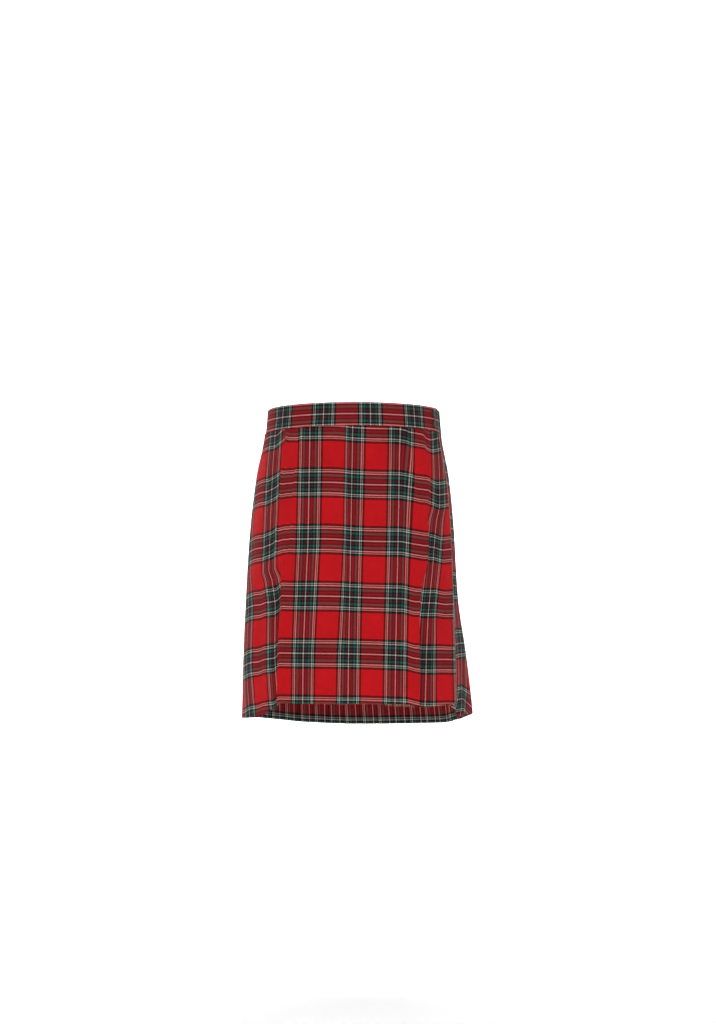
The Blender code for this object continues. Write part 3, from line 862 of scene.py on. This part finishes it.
def stitch_row(name, line, material):
    """Stitches along a line of points, one after another."""
    steps = np.linalg.norm(np.diff(line, axis=0), axis=1)
    travel = np.concatenate([[0.0], np.cumsum(steps)])
    starts = np.arange(0, travel[-1] - STITCH, STITCH + STITCH_GAP)
    bm = bmesh.new()
    for start in starts:
        ends = [Vector([np.interp(s, travel, line[:, k]) for k in range(3)]) for s in (start, start + STITCH)]
        add_stitch(bm, *ends, THREAD)
    print(name, len(starts), "stitches")
    return add_piece(name, mesh_from(bm, name), material)


def band_line(drop, lift):
    """A line along what shows of the band's outside, so far below its top."""
    level = band_level(drop)
    start = level.run(FREE_EDGE[0].azimuth) + STITCHES_FROM_END
    runs = np.linspace(start, level.run(FREE_EDGE[0].azimuth + BAND_TURN), BAND_LINE_POINTS)
    return level.place(runs, lift + under_rise(level.azimuth(runs), UNDER_BAND_RISE))


dark_thread = cotton_thread("twisted cotton thread, dark red", "#5A1418")
pale_thread = cotton_thread("twisted cotton thread, pale grey", "#C9C2BE")
band_face = BAND_WALL / 2 + 0.05 * MM
sewing = [
    stitch_row("band_stitches_top", band_line(STITCHES_FROM_EDGE, band_face), dark_thread),
    stitch_row("band_stitches_bottom", band_line(BAND_HEIGHT - STITCHES_FROM_EDGE, band_face), dark_thread),
]

# %% [markdown]
# The free edge.
#
# The apron's free edge is cut along the warp and overcast: a thread is whipped round the raw edge again and
# again, which makes the thin pale line that runs down beside the flared side. The same short stitch is set
# across the edge all the way down.

# %% Overcast free edge
OVERCAST_COUNT = 340
OVERCAST_WIDTH = 1.8 * MM
OVERCAST_LIFT = CLOTH_WALL / 2 + 0.12 * MM
OVERCAST_PAST_EDGE = 0.15 * MM
OVERCAST_SLANT = Vector((0, 0, -0.6 * MM))
bm = bmesh.new()
for fall in np.linspace(0.004, 0.998, OVERCAST_COUNT):
    level = cloth_level(APRON_SPAN, fall)
    edge_run = apron_path(level, fall)[0][0]
    runs = np.array([edge_run - OVERCAST_PAST_EDGE, edge_run + OVERCAST_WIDTH])
    rises = crease_rise(level.azimuth(runs), fall)
    outside, inside = level.place(runs, rises + OVERCAST_LIFT), level.place(runs, rises - OVERCAST_LIFT)
    add_stitch(bm, Vector(outside[0]), Vector(outside[1]) + OVERCAST_SLANT, THREAD)
    add_stitch(bm, Vector(inside[0]), Vector(inside[1]) + OVERCAST_SLANT, THREAD)
    add_stitch(bm, Vector(inside[0]), Vector(outside[0]), THREAD)
mesh = mesh_from(bm, "free_edge_overcast")
sewing.append(add_piece("free_edge_overcast", mesh, pale_thread))
print("overcast edge:", len(mesh.polygons), "faces")

# %% [markdown]
# A worn hem.
#
# The hem of such a skirt is the woven edge of the cloth, left as it is. Right of centre back it has begun to
# fray, and short ends of yarn hang below it. They are the same little threads as the stitches, with seeded
# lengths and slants, so that each run gives the same fringe.

# %% Frayed ends below the hem
Fray = namedtuple("Fray", "azimuth_from azimuth_to count longest")
FRAYS = [Fray(-30, -15, 70, 5.5 * MM), Fray(-50, -34, 16, 2.0 * MM), Fray(4, 16, 14, 1.6 * MM),
         Fray(150, 168, 18, 2.2 * MM), Fray(205, 214, 10, 2.0 * MM)]
FRAY_YARN = 0.38 * MM
FRAY_ROOT = Vector((0, 0, 1.0 * MM))
SHORTEST_SHARE = 0.25
FRAY_LEAN = 0.25
chance = np.random.default_rng(7)
loose_yarn = cotton_thread("loose wool yarn, tan", "#A8916C")
bm = bmesh.new()
hem_level = cloth_level((-90, 400), 1.0)
for fray in FRAYS:
    for azimuth in np.sort(chance.uniform(fray.azimuth_from, fray.azimuth_to, fray.count)):
        run = hem_level.run(azimuth)
        drop = fray.longest * chance.uniform(SHORTEST_SHARE, 1.0)
        lean = chance.normal(0, FRAY_LEAN) * drop
        out = float(crease_rise(np.array([azimuth]), 1.0)[0]) + chance.uniform(-0.3, 0.3) * MM
        start, end = [Vector(p) for p in hem_level.place(np.array([run, run + lean]), np.full(2, out))]
        add_stitch(bm, start + FRAY_ROOT, end - Vector((0, 0, drop)), FRAY_YARN)
sewing.append(add_piece("hem_fray", mesh_from(bm, "hem_fray"), loose_yarn))
print("frayed hem:", sum(fray.count for fray in FRAYS), "ends")

# %% [markdown]
# Buttons.
#
# Two plain sew-through buttons hold the free end of the band. A button is turned: a profile is spun round its
# axis, thick at the rim and dished inside. Four holes are cut through it and two bars of thread cross them.
# Dark horn has a soft shine and faint streaks.

# %% Turn the buttons
BUTTON_FROM_EDGE = 16 * MM
BUTTON_DROPS = {"button_upper": 12.5 * MM, "button_lower": 32.5 * MM}
BUTTON_SIDES = 48
HOLE_RADIUS = 0.95 * MM
HOLE_SPACING = 1.7 * MM
HOLE_SIDES = 20
DRILL_LENGTH = 10 * MM
BUTTON_YARN = 0.5 * MM
YARN_FROM_MIDDLE = 0.22 * MM
Bar = namedtuple("Bar", "past_hole height")
BAR_FOOT, BAR_TOP = Bar(0.1 * MM, 1.0 * MM), Bar(-0.3 * MM, 2.15 * MM)
Turn = namedtuple("Turn", "radius height")
BUTTON_PROFILE = [
    Turn(0.0, 0.0), Turn(6.6, 0.0), Turn(7.6, 0.35), Turn(8.0, 1.1), Turn(7.9, 1.9), Turn(7.4, 2.55),
    Turn(6.7, 2.8), Turn(6.0, 2.65), Turn(5.4, 2.1), Turn(4.6, 1.85), Turn(0.0, 1.75),
]


def horn(name):
    material, tree, shader = new_material(name)
    place = add_node(tree, "ShaderNodeTexCoord")
    streak = add_node(tree, "ShaderNodeTexNoise", {"Vector": place.outputs["Object"]},
                      {"Scale": 260.0, "Detail": 4.0, "Distortion": 1.2})
    shade = add_node(tree, "ShaderNodeMix", {0: streak.outputs["Fac"]}, data_type="RGBA")
    shade.inputs[6].default_value = linear("#0C0A0A")
    shade.inputs[7].default_value = linear("#3A2C24")
    tree.links.new(shade.outputs[2], shader.inputs["Base Color"])
    shader.inputs["Roughness"].default_value = 0.32
    shader.inputs["IOR"].default_value = 1.55
    return material


def button_frame(drop):
    """Where a button sits: a matrix with +Z out of the band."""
    level = band_level(drop)
    run = level.run(FREE_EDGE[0].azimuth) + BUTTON_FROM_EDGE
    seat, beside = [Vector(p) for p in level.place(np.array([run, run + MM]), np.zeros(2))]
    above_level = band_level(drop - MM)
    above_run = above_level.run(FREE_EDGE[0].azimuth) + BUTTON_FROM_EDGE
    above = Vector(above_level.place(np.array([above_run]), np.zeros(1))[0])
    out = (beside - seat).cross(above - seat).normalized()
    if out.dot(seat) < 0:
        out = -out
    upright = (above - seat).normalized()
    side = upright.cross(out).normalized()
    turn = Matrix((side, out.cross(side), out)).transposed().to_4x4()
    return Matrix.Translation(seat + out * (BAND_WALL / 2 + SEAM)) @ turn


def turned_button(name, matrix, material):
    bm = bmesh.new()
    profile = [bm.verts.new((turn.radius * MM, 0, turn.height * MM)) for turn in BUTTON_PROFILE]
    edges = [bm.edges.new(pair) for pair in zip(profile, profile[1:])]
    bmesh.ops.spin(bm, geom=profile + edges, cent=(0, 0, 0), axis=(0, 0, 1), dvec=(0, 0, 0),
                   angle=2 * math.pi, steps=BUTTON_SIDES, use_merge=True, use_duplicate=False)
    bmesh.ops.remove_doubles(bm, verts=bm.verts, dist=0.01 * MM)
    bmesh.ops.recalc_face_normals(bm, faces=bm.faces)
    piece = add_piece(name, mesh_from(bm, name), material)
    bm = bmesh.new()
    for x in (-HOLE_SPACING, HOLE_SPACING):
        for y in (-HOLE_SPACING, HOLE_SPACING):
            bmesh.ops.create_cone(bm, cap_ends=True, segments=HOLE_SIDES, radius1=HOLE_RADIUS,
                                  radius2=HOLE_RADIUS, depth=DRILL_LENGTH,
                                  matrix=Matrix.Translation((x, y, 0)))
    drill = bpy.data.objects.new("drill", mesh_from(bm, "drill"))
    bpy.context.scene.collection.objects.link(drill)
    cut = piece.modifiers.new("holes", "BOOLEAN")
    cut.object = drill
    cut.operation = "DIFFERENCE"
    cut.solver = "EXACT"
    graph = bpy.context.evaluated_depsgraph_get()
    drilled = bpy.data.meshes.new_from_object(piece.evaluated_get(graph))
    piece.modifiers.clear()
    piece.data = drilled
    bpy.data.objects.remove(drill)
    drilled.transform(matrix)
    drilled.shade_smooth()
    drilled.set_sharp_from_angle(angle=math.radians(40))
    return piece


def button_thread(name, matrix):
    """Two bars of doubled thread across the four holes."""
    bm = bmesh.new()
    for y in (-HOLE_SPACING, HOLE_SPACING):
        for shift in (-YARN_FROM_MIDDLE, YARN_FROM_MIDDLE):
            bends = [(-1, BAR_FOOT), (-1, BAR_TOP), (1, BAR_TOP), (1, BAR_FOOT)]
            line = [matrix @ Vector((side * (HOLE_SPACING + bar.past_hole), y + shift, bar.height))
                    for side, bar in bends]
            for start, end in zip(line, line[1:]):
                add_stitch(bm, start, end, BUTTON_YARN)
    return add_piece(name, mesh_from(bm, name), dark_thread)


horn_finish = horn("polished dark horn")
buttons = {}
for name, drop in BUTTON_DROPS.items():
    matrix = button_frame(drop)
    buttons[name] = turned_button(name + "_turned", matrix, horn_finish)
    sewing.append(button_thread(name + "_thread", matrix))
    print(name, len(buttons[name].data.polygons), "faces")

# %% [markdown]
# Buttonholes.
#
# Each button comes through a slit worked round with close stitches. The button hides one end of it, and the
# other shows as two small raised rows of thread. The stitches follow the band's curve, which falls away from
# the flat button on both sides.

# %% Work the buttonholes
HOLE_FROM = -6 * MM
HOLE_LENGTH = 19 * MM
HOLE_STITCHES = 34
STITCH_FROM, STITCH_TO = 0.25 * MM, 1.8 * MM
LIP_HEIGHT, FOOT_HEIGHT = 0.15 * MM, 0.05 * MM
BAND_CURVE_RADIUS = 130 * MM
bm = bmesh.new()
for drop in BUTTON_DROPS.values():
    matrix = button_frame(drop)
    for i in range(HOLE_STITCHES):
        x = HOLE_FROM + HOLE_LENGTH * i / (HOLE_STITCHES - 1)
        face = -SEAM - x * x / (2 * BAND_CURVE_RADIUS)
        for side in (-1, 1):
            start = Vector((x, STITCH_FROM * side, face + LIP_HEIGHT))
            end = Vector((x, STITCH_TO * side, face + FOOT_HEIGHT))
            add_stitch(bm, matrix @ start, matrix @ end, BUTTON_YARN)
sewing.append(add_piece("buttonhole_stitches", mesh_from(bm, "buttonhole_stitches"), dark_thread))

# %% [markdown]
# What each piece stands for.
#
# The cloth shells take the place of the plain solids and ride on the same body.

# %% Tie the pieces to the frame
CLOTH_PIECES = {
    "outer_apron_cloth": ("outer_apron", apron_size),
    "pleats_left_cloth": ("pleats_left", pleat_cuts["pleats_left"]),
    "pleats_right_cloth": ("pleats_right", pleat_cuts["pleats_right"]),
    "under_apron_cloth": ("under_apron", under_size),
    "waistband_cloth": ("waistband", band_size),
}
for name, (node, flat) in CLOTH_PIECES.items():
    piece = bpy.data.objects[name]
    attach(piece, "root")
    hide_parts(node)
for name, piece in buttons.items():
    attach(piece, "root")
    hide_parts(name)
for piece in sewing:
    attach(piece, "root")

# %% [markdown]
# A plain studio.
#
# The skirt is seen from behind, level with its own upper half and from far off, so a long lens keeps the
# sides parallel. The floor runs back and curves up into the wall, both white. Light comes from large soft
# panels, as in a catalogue studio: a key near the camera, a weaker fill on its other side, one for the
# pleated front, one overhead, and a strong one that is turned away and whitens the wall.

# %% Floor, light and camera
FLOOR_Z = -1.129
CAMERA_DISTANCE = 10.0
CAMERA_HEIGHT = -0.1953
CAMERA_X = -0.0077
FRAME_HEIGHT = 1.977
SENSOR = 36.0
FLOOR_HALF_WIDTH = 12
FLOOR_NEAR, FLOOR_FAR = 14, -10
CURVE_FROM, CURVE_LENGTH, CURVE_RADIUS = -4, 4.0, 3.0
WALL_RISE = 3

bm = bmesh.new()
bmesh.ops.create_grid(bm, x_segments=2, y_segments=60, size=1.0)
for vert in bm.verts:
    depth = FLOOR_NEAR + (FLOOR_FAR - FLOOR_NEAR) * (1 - vert.co.y) / 2
    height = 0.0
    if depth < CURVE_FROM:
        past = CURVE_FROM - depth
        turn = min(past / CURVE_LENGTH, 1) * math.pi / 2
        height = CURVE_RADIUS * (1 - math.cos(turn)) + max(0.0, past - CURVE_LENGTH) * WALL_RISE
        depth = CURVE_FROM - CURVE_RADIUS * math.sin(turn)
    vert.co = Vector((vert.co.x * FLOOR_HALF_WIDTH, depth, FLOOR_Z + height))
for face in bm.faces:
    face.smooth = True
paper, tree, shader = new_material("matt white studio paper")
shader.inputs["Base Color"].default_value = linear("#FFFFFF")
shader.inputs["Roughness"].default_value = 0.95
floor = add_piece("studio_floor", mesh_from(bm, "studio_floor"), paper)

SKIRT_TARGET = Vector((0, 0, -0.35))
WALL_TARGET = Vector((0.0, -8.0, 1.0))
Panel = namedtuple("Panel", "name place size power")
PANELS = [
    Panel("key", (1.2, 5.0, 0.2), 2.5, 62), Panel("fill", (-3.6, 4.6, 0.0), 3.0, 18),
    Panel("front_side", (4.6, -3.6, 1.2), 1.6, 42), Panel("top", (0.0, -1.6, 3.8), 4.0, 90),
    Panel("wall", (0.0, -3.0, 3.4), 4.0, 420),
]
for panel in PANELS:
    data = bpy.data.lights.new(panel.name, "AREA")
    data.size = panel.size
    data.energy = panel.power
    lamp = bpy.data.objects.new(panel.name, data)
    lamp.location = panel.place
    aim = (WALL_TARGET if panel.name == "wall" else SKIRT_TARGET) - Vector(panel.place)
    lamp.rotation_euler = aim.to_track_quat("-Z", "Y").to_euler()
    bpy.context.scene.collection.objects.link(lamp)

world = bpy.data.worlds.new("studio air")
world.use_nodes = True
world.node_tree.nodes["Background"].inputs["Color"].default_value = (1, 1, 1, 1)
world.node_tree.nodes["Background"].inputs["Strength"].default_value = 0.60
bpy.context.scene.world = world
bpy.context.scene.view_settings.view_transform = "Standard"

lens = bpy.data.cameras.new("camera")
lens.sensor_fit = "AUTO"
lens.sensor_width = SENSOR
lens.lens = SENSOR * CAMERA_DISTANCE / FRAME_HEIGHT
lens.clip_end = 100
camera = bpy.data.objects.new("camera", lens)
camera.location = (CAMERA_X, CAMERA_DISTANCE, CAMERA_HEIGHT)
camera.rotation_euler = (math.pi / 2, 0, math.pi)
bpy.context.scene.collection.objects.link(camera)
bpy.context.scene.camera = camera
